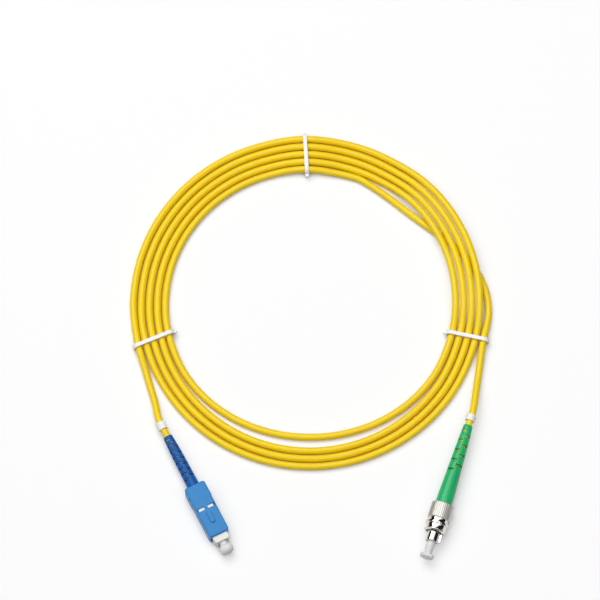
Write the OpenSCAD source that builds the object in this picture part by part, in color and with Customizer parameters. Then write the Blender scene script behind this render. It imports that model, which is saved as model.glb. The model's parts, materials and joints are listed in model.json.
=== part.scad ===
// Simplex fibre optic patch cord, coiled flat on a table and held by three ties.
// One end carries a push-pull SC plug, the other a screwed FC plug with an angled ferrule.
// Frame: +Z up from the table, origin at the centre of the footprint, plugs towards -Y.

/* [Cable] */
// Outside diameter of the cable's jacket
cable_d = 3; // [2.6:0.1:3]
// Diameter of the buffered fibre inside it
buffer_d = 0.9; // [0.6:0.05:0.95]
// Radius of the outermost turn, at the cable's centre
coil_r = 75.2; // [74:0.1:76]
// Free gap between neighbouring turns of the coil
turn_gap = 0.45; // [0.42:0.01:0.5]

/* [Ties and marker clips] */
// Width of a tie along the cable
tie_w = 1.8; // [1.4:0.1:3]
// Thickness of a tie
tie_t = 0.8; // [0.6:0.05:1]
// Length of the pinched ends that stand out of a tie
tie_tail = 0.6; // [0.4:0.1:2]
// Outside diameter of a marker clip
clip_d = 4.4; // [4:0.1:5]
// Length of a marker clip on the SC lead
sc_clip_len = 3.5; // [2.5:0.1:4.5]
// Length of a marker clip on the FC lead
fc_clip_len = 2.8; // [2:0.1:3.5]
// Width of the slit that a marker clip is pushed on by
clip_slit = 1; // [0.6:0.1:1.4]

/* [SC plug] */
// Length of the grip
sc_grip_len = 24.5; // [24:0.1:26]
// Width of the grip in front
sc_grip_w = 9; // [8.8:0.1:9.6]
// Height of the grip without its key
sc_grip_h = 7.4; // [7.2:0.1:8]
// Width of the key on top of the grip
sc_key_w = 2.1; // [1.6:0.1:2.4]
// Height of that key
sc_key_h = 0.7; // [0.4:0.1:0.8]
// How far the grip pulls back
sc_travel = 2; // [1:0.1:2]
// Width of the plug frame
sc_frame_w = 6.8; // [6.4:0.1:6.9]
// Height of the plug frame
sc_frame_h = 5.4; // [5.3:0.1:5.6]
// Length of the plug frame
sc_frame_len = 20.2; // [19.6:0.1:20.6]
// How far the plug frame stands out of the grip
sc_frame_proud = 3; // [2:0.1:4]
// How far the ferrule stands out of the plug frame
sc_ferrule_proud = 1; // [0.8:0.1:1.6]
// Length of the boot that shows behind the grip
sc_boot_len = 25.2; // [24.6:0.1:28]
// Diameter of the boot where it enters the grip
sc_boot_d = 5.3; // [5.2:0.1:6]
// Number of slot pairs in the boot
sc_boot_slots = 15; // [5:1:15]
// Distance from one slot pair to the next
sc_slot_pitch = 1.4; // [1.3:0.05:1.45]
// Width of the slots along the cable
sc_slot_w = 0.7; // [0.5:0.05:0.8]

/* [FC plug] */
// Length of the coupling nut
fc_nut_len = 12.8; // [12.6:0.1:14]
// Outside diameter of the nut's collar, its widest place
fc_nut_d = 10; // [9.8:0.1:11]
// Length of the nut's knurled grip
fc_knurl_len = 6.9; // [6:0.1:7.2]
// Number of ridges in the knurl
fc_knurl_count = 40; // [30:2:60]
// Inside diameter of the nut's M8 x 0.75 thread
fc_thread_d = 7.2; // [7.1:0.05:7.4]
// Diameter of the keyed barrel
fc_barrel_d = 5.6; // [5.4:0.1:5.8]
// How far the barrel stands out of the nut
fc_barrel_proud = 4.3; // [4:0.1:5]
// Width of the barrel's key
fc_key_w = 2; // [1.6:0.02:2.2]
// How far the ferrule stands out of the barrel
fc_ferrule_proud = 4.2; // [3.8:0.1:4.6]
// Length of the boot that shows behind the nut
fc_boot_len = 37.2; // [36.5:0.1:40]
// Diameter of the boot at the nut
fc_boot_d = 7; // [6.8:0.1:7.2]
// Number of slot pairs in the boot
fc_boot_slots = 9; // [5:1:10]
// Distance from one slot pair to the next
fc_slot_pitch = 2.3; // [1.9:0.05:2.4]
// Width of the slots along the cable
fc_slot_w = 0.9; // [0.6:0.1:1.2]

/* [Both plugs] */
// Diameter of the ceramic ferrule
ferrule_d = 2.5; // [2.4:0.01:2.5]
// Length of the ceramic ferrule
ferrule_len = 10.5; // [10:0.1:11]
// Travel of the ferrule against its spring
ferrule_travel = 1; // [0.5:0.1:1.2]
// Outside diameter of the ferrule's flange
flange_d = 4; // [3.9:0.05:4.1]
// Length of the compression spring at rest
spring_len = 7; // [6.5:0.1:7.2]
// Wire diameter of the spring
spring_wire_d = 0.4; // [0.3:0.05:0.4]
// Number of curls in the spring
spring_curls = 6; // [4:1:8]
// Outside diameter of the crimp sleeve
crimp_d = 4.3; // [4.2:0.05:4.5]
// Length of the crimp sleeve
crimp_len = 6.5; // [6:0.1:7]
// Diameter of a boot at its thin end
boot_end_d = 4; // [3.8:0.1:4.4]
// Outside diameter of a dust cap's stem
cap_stem_d = 3.6; // [3.4:0.1:3.7]
// Outside diameter of a dust cap's head
cap_head_d = 6; // [4.6:0.1:6.4]

/* [Hidden] */
$fn = 48;

// Clearances: seated on one another, sliding in one another, a cap on its ferrule, a tie on its bundle
fit_gap = 0.05;
slide_gap = 0.1;
cap_gap = 0.02;
tie_gap = 0.3;
// Depth by which united shapes run into each other, and by which cuts run out of a face
bite = 0.5;

// ---- The coil: a flat spiral that runs clockwise and inwards from the left tie ----

cable_r = cable_d / 2;
pitch = cable_d + turn_gap;
coil_centre = [-0.9, 19.5];
oval = 1.022;
// Angle round the coil that its turns are counted from
turns_from = 195;
// Angles of the ties round the coil, and how far each is slanted from the straight way across
left_tie_at = 194.3;
top_tie_at = 90.9;
right_tie_at = -12.9;
left_tie_slant = 8.4;
top_tie_slant = 2.3;
right_tie_slant = 0.7;
ring_step = 15;
coil_rings = 104;
coil_sides = 6;
lead_sides = 8;
first_turn = -1 / 24;

// The turns rise over each tie's underside, and higher still over the lead that crosses under them
tie_lift = tie_t + tie_gap;
tie_reach = 15;
cross_at = 20;
cross_lift = cable_d + 0.45;
cross_flat = 18;
cross_reach = 42;

// The innermost turn wanders inwards at the front
wander_turn = 3.75;
wander_reach = 0.2;
wander = 2.6;

function wrap(a) = a - 360 * round(a / 360);
function bump(offset, flat, reach) =
    let (x = max(0, min(1, (abs(offset) - flat) / (reach - flat)))) pow(cos(90 * x), 2);
function turn_angle(t) = turns_from - 360 * (t - first_turn);
function turn_r(t) = coil_r - pitch * t - wander * bump(t - wander_turn, 0, wander_reach);
function turn_z(a) = cable_r + max(
    tie_lift * max([for (tie = [left_tie_at, top_tie_at, right_tie_at])
        bump(wrap(a - tie), 0, tie_reach)]),
    cross_lift * bump(wrap(a - cross_at), cross_flat, cross_reach));
// Point at an angle and a distance from the coil's centre, on its slightly tall oval
function around(a, r, z) = [coil_centre[0] + r * cos(a), coil_centre[1] + oval * r * sin(a), z];
function coil_point(t) = around(turn_angle(t), turn_r(t), turn_z(turn_angle(t)));
// The same turn, moved to a tie's angle where it is close to one
function at_tie(t) = let (offs = [for (tie = [left_tie_at, top_tie_at, right_tie_at])
    let (off = wrap(tie - turn_angle(t))) if (abs(off) < ring_step / 4) off])
    len(offs) > 0 ? t - offs[0] / 360 : t;

function unit(v) = v / norm(v);
function along(points, i) = unit(points[min(i + 1, len(points) - 1)] - points[max(i - 1, 0)]);
// Level heading of the coil at turn t
function heading_at(t) = let (d = coil_point(t + 0.001) - coil_point(t - 0.001)) unit([d[0], d[1], 0]);

last_turn = first_turn + coil_rings * ring_step / 360;
turns = [for (i = [0 : coil_rings]) coil_point(at_tie(first_turn + i * ring_step / 360))];
coil_start = turns[0] - cable_d * heading_at(first_turn);
coil_end = turns[coil_rings] + cable_d * heading_at(last_turn);
coil_route = concat([coil_start], turns, [coil_end]);

// ---- The plugs: each has its own axis, from the thin end of its boot, at 0, to its tip ----

// The coil's leftmost and rightmost places, which the plugs and leads are laid from
coil_left = [coil_centre[0] - coil_r, coil_centre[1], 0];
coil_right = [coil_centre[0] + coil_r, coil_centre[1], 0];

sc_heading = -63.2;
sc_at = coil_left + [15.4, -61.6, sc_grip_h / 2];
fc_heading = -107.3;
fc_at = coil_right + [-7.3, -57.1, fc_nut_d / 2];

function sc_point(s) = sc_at + s * [cos(sc_heading), sin(sc_heading), 0];
function fc_point(s) = fc_at + s * [cos(fc_heading), sin(fc_heading), 0];

// Along the SC plug
sc_grip_from = sc_boot_len;
sc_grip_to = sc_grip_from + sc_grip_len;
sc_frame_to = sc_grip_to + sc_frame_proud;
sc_frame_from = sc_frame_to - sc_frame_len;
sc_tip = sc_frame_to + sc_ferrule_proud;

// Along the FC plug
fc_nut_from = fc_boot_len;
fc_nut_to = fc_nut_from + fc_nut_len;
fc_barrel_to = fc_nut_to + fc_barrel_proud;
fc_tip = fc_barrel_to + fc_ferrule_proud;

// Back from a ferrule's tip: its flange, the lip that stops the flange, and the spring
seat_depth = 1.7;
flange_len = 2.5;
flange_front = ferrule_len - seat_depth;
flange_back = flange_front + flange_len;
spring_back = flange_back + spring_len;
lip_len = 1.2;
lip_back = flange_front - fit_gap;
lip_front = lip_back - lip_len;
lip_r = 1.7;
opening_r = 2.2;
flange_bore_r = flange_d / 2 + slide_gap;
sc_spring_seat = sc_tip - spring_back;
fc_spring_seat = fc_tip - spring_back;

// Crimp posts, and what is clamped on them
post_r = 1.65;
yarn_t = 0.15;
jacket_end_gap = 0.9;
rear_flange_len = 1.8;
crimp_r = crimp_d / 2;
crimp_bore_r = post_r + yarn_t + fit_gap;
cable_bore_r = cable_r + fit_gap;
fibre_bore_r = buffer_d / 2 + 0.15;

sc_crimp_to = sc_frame_from - fit_gap - rear_flange_len;
sc_post_from = sc_crimp_to - crimp_len - jacket_end_gap;

// The FC nut's web turns on the rear body's neck, between its flange and the barrel's flange
fc_play = 0.3;
fc_web_len = 2.4;
fc_barrel_flange_len = 3;
fc_neck_r = 2.55;
fc_screw_r = 2.35;
fc_shoulder_len = 2.4;
// How much of the spring lies in the rear body's screw
fc_spring_in_screw = 3.6;
fc_barrel_from = fc_spring_seat + fc_spring_in_screw;
fc_web_from = fc_barrel_from - fc_play - fc_web_len;
fc_flange_from = fc_web_from - fc_play - rear_flange_len;
fc_crimp_to = fc_flange_from - fc_shoulder_len;
fc_post_from = fc_crimp_to - crimp_len - jacket_end_gap;
fc_screw_to = fc_tip - flange_back - ferrule_travel - 0.25;

// ---- The leads: from the coil, along the table, and straight into the boots ----

sc_straight = 8;
sc_lead_route = concat([coil_start, coil_start - cable_d * heading_at(first_turn)],
    [for (p = [[5.3, -30, 2], [7.3, -37, 1.6], [9.8, -45.7, 2.2]]) coil_left + p],
    [for (s = [-sc_straight, 0, sc_post_from / 2, sc_post_from - fit_gap]) sc_point(s)]);

// Angles round the coil at which the lead crosses under its turns, with the distance inside the
// outermost turn there
fc_crossing = [[62.5, 15.4], [53, 16.1], [42.5, 15.5], [35.5, 13.7], [29.5, 11.2], [23.5, 7.9],
    [17.5, 4.5], [11.5, 1.4], [5.5, -0.9], [0, -2], [-5, -2.2]];
// Distance of the lead from the coil's centre where the right tie holds it
lead_under_tie = coil_r + 1.6;
fc_straight = 7;
fc_lead_route = concat([coil_end, coil_end + cable_d * heading_at(last_turn)],
    [for (p = fc_crossing) around(p[0], coil_r - p[1], cable_r)],
    [around(right_tie_at, lead_under_tie, cable_r + tie_lift)],
    [for (p = [[-1.9, -28, 2], [-3.1, -36, 2.2], [-4.2, -44, 3.8]]) coil_right + p],
    [for (s = [-fc_straight, 0, fc_post_from / 2, fc_post_from - fit_gap]) fc_point(s)]);

// Corners of a tube's ring at one point of its route, square to the route there
function ring(points, i, r, sides) =
    let (d = along(points, i), side = unit(cross(d, [0, 0, 1])), up = cross(side, d),
        turn = sides == lead_sides ? 180 / sides : 0)
    [for (k = [0 : sides - 1]) let (a = 360 * k / sides + turn)
        points[i] + r * cos(a) * side + r * sin(a) * up];

module tube(points, r, sides) {
    n = len(points);
    corners = [for (i = [0 : n - 1]) each ring(points, i, r, sides)];
    walls = [for (i = [0 : n - 2], k = [0 : sides - 1])
        let (a = i * sides + k, b = i * sides + (k + 1) % sides)
        each [[a, a + sides, b], [b, a + sides, b + sides]]];
    first = [for (k = [1 : sides - 2]) [0, k, k + 1]];
    last = [for (k = [1 : sides - 2]) [(n - 1) * sides, (n - 1) * sides + k + 1, (n - 1) * sides + k]];
    polyhedron(corners, concat(walls, first, last), convexity = 10);
}

// Points every quarter of a step along a route, to measure its turns against each other
function fine(points) = [for (i = [0 : len(points) - 2], f = [0, 0.25, 0.5, 0.75])
    points[i] + f * (points[i + 1] - points[i])];
function route_len(points) = let (steps = [for (i = [0 : len(points) - 2])
    norm(points[i + 1] - points[i])]) steps * [for (s = steps) 1];

module print_measures() {
    near = 12;
    own = fine(coil_route);
    lead = fine(fc_lead_route);
    echo(least_gap_of_coil_to_itself = min([for (i = [0 : len(own) - 1])
        for (j = [i + near : len(own) - 1]) norm(own[i] - own[j])]) - cable_d);
    echo(least_gap_of_coil_to_lead = min([for (p = own, q = lead)
        norm(p - coil_end) + norm(q - coil_end) < near ? near : norm(p - q)]) - cable_d);
    echo(cable_length = [for (r = [sc_lead_route, coil_route, fc_lead_route]) route_len(r)]);
}

module cable_coil() {
    color("gold") tube(coil_route, cable_r, coil_sides);
    print_measures();
}

module sc_lead() {
    color("gold") tube(sc_lead_route, cable_r, lead_sides);
}

module fc_lead() {
    color("gold") tube(fc_lead_route, cable_r, lead_sides);
}

// ---- Ties and marker clips ----

// Distances from the coil's centre of the turns that pass a tie
function turns_at(a) = [for (k = [0 : 5]) let (t = first_turn + (turns_from - a) / 360 + k)
    if (t <= last_turn) turn_r(t)];

// Flat loop round the strands from one distance to another
module loop(from, to, r) {
    translate([from, 0]) circle(r);
    translate([to, 0]) circle(r);
    translate([from, -r]) square([to - from, 2 * r]);
}

// Band round all strands at one place of the coil, its two ends pinched together on the inside
module tie(a, distances, slant) {
    stretch = norm([cos(a), oval * sin(a)]);
    // Beside a ring the turns run straight, and so a little further in
    drop = (tie_w + (max(distances) - min(distances)) * sin(slant)) / 2 * tan(ring_step / 2);
    from = stretch * min(distances) - drop;
    to = stretch * max(distances);
    half = (to - from) / 2 / cos(slant);
    bore_r = cable_r + tie_gap;
    color("white")
    translate([coil_centre[0], coil_centre[1], cable_r + tie_lift])
    rotate([0, 0, atan2(oval * sin(a), cos(a))])
    translate([(from + to) / 2, 0, 0])
    rotate([90, 0, slant])
    linear_extrude(tie_w, center = true)
    difference() {
        union() {
            loop(-half, half, bore_r + tie_t);
            loop(-half - bore_r - tie_t - tie_tail, -half - bore_r, tie_t);
        }
        loop(-half, half, bore_r);
    }
}

module top_tie() tie(top_tie_at, turns_at(top_tie_at), top_tie_slant);
module left_tie() tie(left_tie_at, turns_at(left_tie_at), left_tie_slant);
module right_tie() tie(right_tie_at, concat(turns_at(right_tie_at), [lead_under_tie]), right_tie_slant);

// Clip pushed on the cable through its slit, which faces up and to the side
module marker_clip(length) {
    slit_at = 30;
    color("white")
    translate([0, 0, -length / 2])
    difference() {
        cylinder(d = clip_d, h = length);
        translate([0, 0, -bite]) cylinder(r = cable_bore_r, h = length + 2 * bite);
        rotate([0, 0, slit_at])
        translate([0, -clip_slit / 2, -bite]) cube([clip_d, clip_slit, length + 2 * bite]);
    }
}

sc_clip_at = -5.4;
fc_clip_at = -3.6;
module sc_marker_clip() on_sc(sc_clip_at) marker_clip(sc_clip_len);
module fc_marker_clip() on_fc(fc_clip_at) marker_clip(fc_clip_len);

// ---- Placing a plug: Z runs to its tip, Y up from the table and X to the left of the way it points ----

module on_sc(s = 0) {
    translate(sc_at) rotate([90, 0, 90 + sc_heading]) translate([0, 0, s]) children();
}

module on_fc(s = 0) {
    translate(fc_at) rotate([90, 0, 90 + fc_heading]) translate([0, 0, s]) children();
}

// Round bar or bore between two places on the axis
module round(r, from, to) {
    translate([0, 0, from]) cylinder(r = r, h = to - from);
}

module rounded(x, y, r) {
    square([x - 2 * r, y], center = true);
    square([x, y - 2 * r], center = true);
    for (i = [-1, 1], j = [-1, 1]) translate([i * (x / 2 - r), j * (y / 2 - r)]) circle(r);
}

// Extrusion along X or along Y of an outline that has Z as its second coordinate
module across_x(width) rotate([90, 0, 90]) linear_extrude(width, center = true) children();
module across_y(width) rotate([90, 0, 0]) linear_extrude(width, center = true) children();

// ---- Pieces that both plugs have ----

module ferrule(tip, face_angle) {
    chamfer = 0.35;
    chamfer_len = 1;
    r = ferrule_d / 2;
    color("ivory")
    difference() {
        translate([0, 0, tip - ferrule_len])
        rotate_extrude()
        polygon([[0, 0], [r, 0], [r, ferrule_len - chamfer_len], [r - chamfer, ferrule_len],
            [0, ferrule_len]]);
        if (face_angle > 0)
            translate([0, 0, tip]) rotate([face_angle, 0, 0])
            translate([-ferrule_d, -ferrule_d, -r * sin(face_angle) / 2]) cube(2 * ferrule_d);
    }
}

// Metal flange with four keyways that the ferrule is pressed into, with a tail inside the spring
module ferrule_flange(tip) {
    tail_r = 1.15;
    tail_clear = 0.6;
    keyway_w = 0.8;
    keyway_depth = 0.25;
    back = tip - flange_back;
    tail_from = back - (spring_len - ferrule_travel - 1 - tail_clear);
    color("silver")
    difference() {
        union() {
            round(flange_d / 2, back, tip - flange_front);
            round(tail_r, tail_from, back + bite);
        }
        round(ferrule_d / 2, tip - ferrule_len, tip - flange_front + bite);
        round(buffer_d / 2 + fit_gap, tail_from - bite, tip - ferrule_len + fit_gap);
        for (i = [0 : 3]) rotate([0, 0, 90 * i])
            translate([flange_d / 2, 0, back])
            cube([2 * keyway_depth, keyway_w, flange_len], center = true);
    }
}

module spring(seat) {
    mean_r = 1.45;
    rings_per_curl = 8;
    wire_r = spring_wire_d / 2;
    rings = rings_per_curl * spring_curls;
    from = seat + fit_gap + wire_r;
    rise = spring_len - 2 * (fit_gap + wire_r);
    color("silver")
    tube([for (i = [0 : rings]) let (a = 360 * i / rings_per_curl)
        [mean_r * cos(a), mean_r * sin(a), from + rise * i / rings]], wire_r, 6);
}

module crimp_sleeve(to) {
    edge = 0.25;
    color("silver")
    translate([0, 0, to - fit_gap - crimp_len])
    rotate_extrude()
    polygon([[crimp_bore_r, 0], [crimp_r - edge, 0], [crimp_r, edge], [crimp_r, crimp_len - edge],
        [crimp_r - edge, crimp_len], [crimp_bore_r, crimp_len]]);
}

module aramid_yarn(to) {
    color("khaki")
    difference() {
        round(post_r + yarn_t, to - crimp_len, to - fit_gap);
        round(post_r, to - crimp_len - bite, to);
    }
}

// Buffered fibre bonded into the ferrule, with room behind it for the ferrule's travel
module fibre(post_from, tip) {
    color("white") round(buffer_d / 2, post_from + ferrule_travel + 0.3, tip - ferrule_len);
}

// Boot over the crimp, given by its [radius, station] corners from the thin end's edge to its base.
// Each pair of slots is turned a quarter from the pair before it.
module boot(corners, to, slots_from, slots, pitch, slot_w, post_from) {
    slot_share = 0.7;
    edge = 0.2;
    base_r = corners[len(corners) - 1][0];
    difference() {
        rotate_extrude()
        polygon(concat([[0, 0], [boot_end_d / 2 - edge, 0], [boot_end_d / 2, edge]], corners,
            [[base_r, to], [0, to]]));
        round(cable_bore_r, -bite, post_from);
        round(crimp_r + fit_gap, post_from - fit_gap, to + bite);
        for (i = [0 : slots - 1], side = [-1, 1]) {
            z = slots_from + pitch * i;
            rotate([0, 0, 135 + 90 * i])
            translate([side * base_r, 0, z])
            cube([2 * base_r - cable_r, 2 * slot_share * lookup(z, [for (c = concat([[boot_end_d / 2, 0]],
                corners)) [c[1], c[0]]]), slot_w], center = true);
        }
    }
}

// Cap with a stem over the ferrule, thinned to a waist in front of a wider head to hold it by
module dust_cap(from, head_from, head_len, tip, waist_r) {
    bore_r = ferrule_d / 2 + cap_gap;
    stem_r = cap_stem_d / 2;
    head_r = cap_head_d / 2;
    flare = 0.5;
    crown = 1;
    head_to = head_from + head_len;
    color("gainsboro")
    rotate_extrude()
    polygon(concat([[bore_r, from], [stem_r, from], [stem_r, (from + head_from) / 2],
        [waist_r, head_from - flare],
        [head_r - 0.2, head_from], [head_r, head_from + 0.2]],
        [for (a = [0 : 22.5 : 90]) [head_r - crown + crown * cos(a), head_to - crown + crown * sin(a)]],
        [[0, head_to], [0, tip + 0.4], [bore_r, tip + 0.4]]));
}

// ---- SC plug ----

sc_boot_inside = 4;
sc_mouth_r = sc_boot_d / 2 + 0.15;
sc_rear_len = 8.3;
sc_rear_pad = 0.2;
sc_grip_corner = 1.2;
sc_window_at = 11.5;
sc_window = [3.2, 1.4];
sc_window_x = 2.3;
sc_key_from = 13.6;
sc_key_to = 18.9;
// White pads of the frame that show in the windows, and run in grooves of the grip
sc_pad = [2.4, 1];
sc_pad_h = 0.5;
sc_pad_x = (sc_frame_w - sc_pad[0]) / 2;
// Stops on the sides of the frame that run in the grip, and channels for an adapter's hooks
sc_stop = [0.4, 2, 2];
sc_stop_at = sc_frame_from + 2.2;
sc_hook_w = 2.8;
sc_hook_depth = 0.55;
sc_hook_len = 9;
// Rounding of the frame's nose seen from above and from the side
sc_nose_r = 1.1;
sc_nose_edge = 0.4;
sc_shoulder_depth = 0.7;
sc_shoulder_len = 3.4;
sc_shoulder_at = sc_frame_to - 5.6;

// Grip seen from above: wider finger pads behind, with round shoulders
module sc_grip_plan() {
    translate([0, sc_rear_len / 2]) rounded(sc_grip_w + 2 * sc_rear_pad, sc_rear_len, 1.2);
    translate([0, (sc_grip_len + 1.2) / 2]) rounded(sc_grip_w, sc_grip_len - 1.2, sc_grip_corner);
}

module sc_grip() {
    edge = 0.6;
    passage = [sc_frame_w + 2 * slide_gap, sc_frame_h + 2 * slide_gap];
    stop_from = sc_stop_at - sc_grip_from - sc_stop[2] / 2 - slide_gap;
    color("dodgerblue")
    on_sc(sc_grip_from)
    difference() {
        union() {
            intersection() {
                linear_extrude(sc_grip_len) rounded(sc_grip_w + 2 * sc_rear_pad, sc_grip_h, edge);
                across_y(sc_grip_h) sc_grip_plan();
                across_x(sc_grip_w + 2) translate([0, sc_grip_len / 2])
                    rounded(sc_grip_h, sc_grip_len, edge);
            }
            // Key on top, with a round front end
            translate([0, sc_grip_h / 2 + (sc_key_h - bite) / 2, 0])
            across_y(sc_key_h + bite) {
                translate([-sc_key_w / 2, sc_key_from])
                    square([sc_key_w, sc_key_to - sc_key_from - sc_key_w / 2]);
                translate([0, sc_key_to - sc_key_w / 2]) circle(d = sc_key_w);
            }
        }
        translate([0, 0, -bite]) linear_extrude(sc_grip_len + 2 * bite) rounded(passage[0], passage[1], 0.4);
        round(sc_mouth_r, -bite, sc_boot_inside + sc_travel + 0.5);
        for (x = [-1, 1], side = [-1, 1]) {
            // Windows beside the key, above and below
            translate([x * sc_window_x, side * sc_grip_h / 2, sc_window_at])
                cube([sc_window[0], sc_grip_h - sc_frame_h, sc_window[1]], center = true);
            // Grooves for the frame's pads
            translate([x * sc_pad_x, side * sc_frame_h / 2, sc_window_at + sc_travel / 2])
                cube([sc_pad[0] + 2 * slide_gap, 2 * (sc_pad_h + slide_gap), sc_window[1] + sc_travel],
                    center = true);
        }
        // Run of the frame's stops
        translate([-passage[0] / 2 - sc_stop[0], -sc_stop[1] / 2 - slide_gap, stop_from])
            cube([passage[0] + 2 * sc_stop[0], sc_stop[1] + 2 * slide_gap,
                sc_stop[2] + 2 * slide_gap + sc_travel]);
        // Channels for the hooks of an adapter
        translate([-passage[0] / 2 - sc_hook_depth, -sc_hook_w / 2, sc_grip_len - sc_hook_len])
            cube([passage[0] + 2 * sc_hook_depth, sc_hook_w, sc_hook_len + bite]);
    }
}

module sc_plug_frame() {
    color("white")
    on_sc()
    difference() {
        union() {
            intersection() {
                translate([0, 0, sc_frame_from])
                    linear_extrude(sc_frame_len) rounded(sc_frame_w, sc_frame_h, 0.4);
                across_y(sc_frame_h) translate([0, sc_frame_from + sc_frame_len / 2])
                    rounded(sc_frame_w, sc_frame_len, sc_nose_r);
                across_x(sc_frame_w) translate([0, sc_frame_from + sc_frame_len / 2])
                    rounded(sc_frame_h, sc_frame_len, sc_nose_edge);
            }
            translate([0, 0, sc_stop_at])
                cube([sc_frame_w + 2 * sc_stop[0], sc_stop[1], sc_stop[2]], center = true);
            for (x = [-sc_pad_x, sc_pad_x])
                translate([x, 0, sc_grip_from + sc_window_at])
                cube([sc_pad[0], sc_frame_h + 2 * sc_pad_h, sc_pad[1]], center = true);
        }
        round(flange_bore_r, sc_frame_from - bite, sc_tip - lip_back);
        round(lip_r, sc_frame_from, sc_frame_to + bite);
        round(opening_r, sc_tip - lip_front, sc_frame_to + bite);
        // Shoulders that an adapter's hooks hold
        for (side = [-1, 1])
            translate([side * sc_frame_w / 2, 0, sc_shoulder_at])
            cube([2 * sc_shoulder_depth, sc_hook_w, sc_shoulder_len], center = true);
    }
}

module sc_rear_body() {
    rear_flange_r = 2.6;
    color("silver")
    on_sc()
    difference() {
        union() {
            round(post_r, sc_post_from, sc_crimp_to + bite);
            round(rear_flange_r, sc_crimp_to, sc_crimp_to + rear_flange_len);
            round(flange_bore_r - fit_gap, sc_crimp_to + bite, sc_spring_seat);
        }
        round(fibre_bore_r, sc_post_from - bite, sc_spring_seat + bite);
    }
}

module sc_ferrule() on_sc() ferrule(sc_tip, 0);
module sc_ferrule_flange() on_sc() ferrule_flange(sc_tip);
module sc_spring() on_sc() spring(sc_spring_seat);
module sc_crimp_sleeve() on_sc() crimp_sleeve(sc_crimp_to);
module sc_aramid_yarn() on_sc() aramid_yarn(sc_crimp_to);
module sc_fibre() on_sc() fibre(sc_post_from, sc_tip);

module sc_boot() {
    corners = [[2.4, 8], [sc_boot_d / 2, 22]];
    slots_from = 1.9;
    color("royalblue")
    on_sc()
    boot(corners, sc_boot_len + sc_boot_inside, slots_from, sc_boot_slots, sc_slot_pitch, sc_slot_w,
        sc_post_from);
}

sc_cap_depth = 4.9;
sc_cap_stem = 2.2;
sc_cap_head = 2.9;
module sc_dust_cap() {
    on_sc()
    dust_cap(sc_frame_to - sc_cap_depth, sc_frame_to + sc_cap_stem, sc_cap_head, sc_tip, cap_stem_d / 2);
}

// ---- FC plug ----

module fc_knurl() {
    ridge = 0.25;
    r = fc_nut_d / 2 - 0.15;
    linear_extrude(fc_knurl_len)
    polygon([for (i = [0 : 2 * fc_knurl_count - 1]) let (a = 180 * i / fc_knurl_count)
        (r - ridge * (i % 2)) * [cos(a), sin(a)]]);
}

module fc_coupling_nut() {
    groove = [0.8, 1.7];
    collar_len = 1;
    chamfer = 0.4;
    mouth_r = fc_boot_d / 2 + 0.25;
    groove_r = fc_nut_d / 2 - groove[0];
    front_r = fc_nut_d / 2 - 0.6;
    rim = [0.3, 0.5];
    collar_from = fc_nut_from + fc_knurl_len + groove[1];
    color("silver")
    on_fc()
    difference() {
        union() {
            translate([0, 0, fc_nut_from]) fc_knurl();
            round(groove_r, fc_nut_from + bite, collar_from + bite);
            round(fc_nut_d / 2, collar_from, collar_from + collar_len);
            rotate_extrude()
            polygon([[0, collar_from], [front_r, collar_from], [front_r, fc_nut_to - chamfer],
                [front_r - chamfer, fc_nut_to], [0, fc_nut_to]]);
            round(front_r + rim[0], fc_nut_to - chamfer - rim[1], fc_nut_to - chamfer);
        }
        round(mouth_r, fc_nut_from - bite, fc_web_from);
        round(fc_neck_r + slide_gap, fc_nut_from, fc_nut_to);
        round(fc_thread_d / 2, fc_web_from + fc_web_len, fc_nut_to + bite);
    }
}

module fc_barrel() {
    key = [0.9, 3.4];
    key_back = 3.9;
    color("silver")
    on_fc()
    difference() {
        union() {
            round(fc_thread_d / 2 - 2 * slide_gap, fc_barrel_from, fc_barrel_from + fc_barrel_flange_len);
            round(fc_barrel_d / 2, fc_barrel_from + bite, fc_barrel_to);
            // Key that an adapter's slot takes
            translate([0, -fc_key_w / 2, fc_barrel_to - key_back])
                cube([fc_barrel_d / 2 + key[0], fc_key_w, key[1]]);
        }
        round(fc_screw_r + fit_gap, fc_barrel_from - bite, fc_screw_to + fit_gap);
        round(flange_bore_r, fc_barrel_from, fc_tip - lip_back);
        round(lip_r, fc_barrel_from, fc_barrel_to + bite);
        round(opening_r, fc_tip - lip_front, fc_barrel_to + bite);
    }
}

module fc_rear_body() {
    spring_bore_r = 1.85;
    color("silver")
    on_fc()
    difference() {
        union() {
            round(post_r, fc_post_from, fc_crimp_to + bite);
            round(crimp_r, fc_crimp_to, fc_flange_from + bite);
            round(fc_boot_d / 2 - 0.2, fc_flange_from, fc_flange_from + rear_flange_len);
            round(fc_neck_r, fc_flange_from + bite, fc_barrel_from - fit_gap);
            round(fc_screw_r, fc_flange_from + bite, fc_screw_to);
        }
        round(fibre_bore_r, fc_post_from - bite, fc_screw_to + bite);
        round(spring_bore_r, fc_spring_seat, fc_screw_to + bite);
    }
}

fc_face_angle = 8;
module fc_ferrule() on_fc() ferrule(fc_tip, fc_face_angle);
module fc_ferrule_flange() on_fc() ferrule_flange(fc_tip);
module fc_spring() on_fc() spring(fc_spring_seat);
module fc_crimp_sleeve() on_fc() crimp_sleeve(fc_crimp_to);
module fc_aramid_yarn() on_fc() aramid_yarn(fc_crimp_to);
module fc_fibre() on_fc() fibre(fc_post_from, fc_tip);

module fc_boot() {
    corners = [[2.4, 7], [fc_boot_d / 2, 33]];
    slots_from = 3;
    color("mediumseagreen")
    on_fc()
    boot(corners, fc_flange_from - fit_gap, slots_from, fc_boot_slots, fc_slot_pitch, fc_slot_w,
        fc_post_from);
}

fc_cap_depth = 2;
fc_cap_stem = 5.9;
fc_cap_head = 2.4;
fc_cap_waist = 0.2;
module fc_dust_cap() {
    on_fc()
    dust_cap(fc_barrel_to - fc_cap_depth, fc_barrel_to + fc_cap_stem, fc_cap_head, fc_tip,
        cap_stem_d / 2 - fc_cap_waist);
}

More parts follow.
